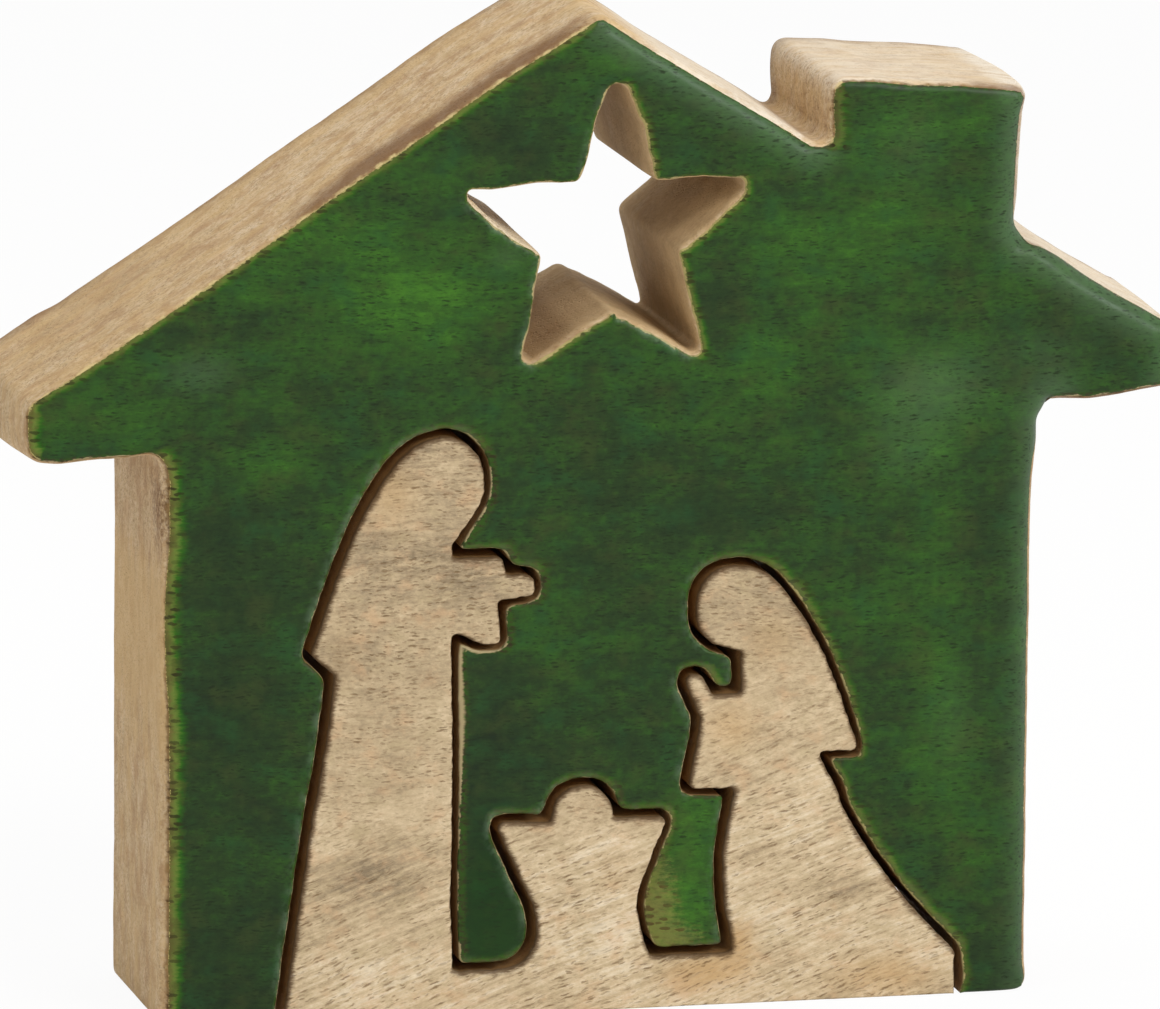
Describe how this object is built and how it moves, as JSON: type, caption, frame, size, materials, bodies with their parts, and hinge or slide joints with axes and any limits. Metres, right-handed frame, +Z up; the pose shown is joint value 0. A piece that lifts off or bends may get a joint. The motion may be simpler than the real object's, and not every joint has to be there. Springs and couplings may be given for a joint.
{
  "type": "nativity stable",
  "caption": "Thick wooden board sawn as a small stable with chimney and star window, stained green in front, with a loose fret-sawn nativity group in a through pocket.",
  "frame": {"origin": "on the floor, under the middle of the board's overall box", "axes": "+X across the front towards the chimney, +Y from the green front to the back, +Z up"},
  "size_m": [0.1434, 0.03, 0.1239],
  "materials": {
    "natural_wood": "bare, sanded",
    "green_stain": "green stain under gloss"
  },
  "bodies": {
    "house": {"house_block": "natural_wood", "green_front_coat": "green_stain"},
    "nativity_group": {"nativity_insert": "natural_wood"}
  },
  "joints": [
    {"name": "insert_slide", "type": "slide", "parent": "house", "child": "nativity_group", "axis": [0, -1, 0], "range_m": [-0.04, 0.04]}
  ]
}
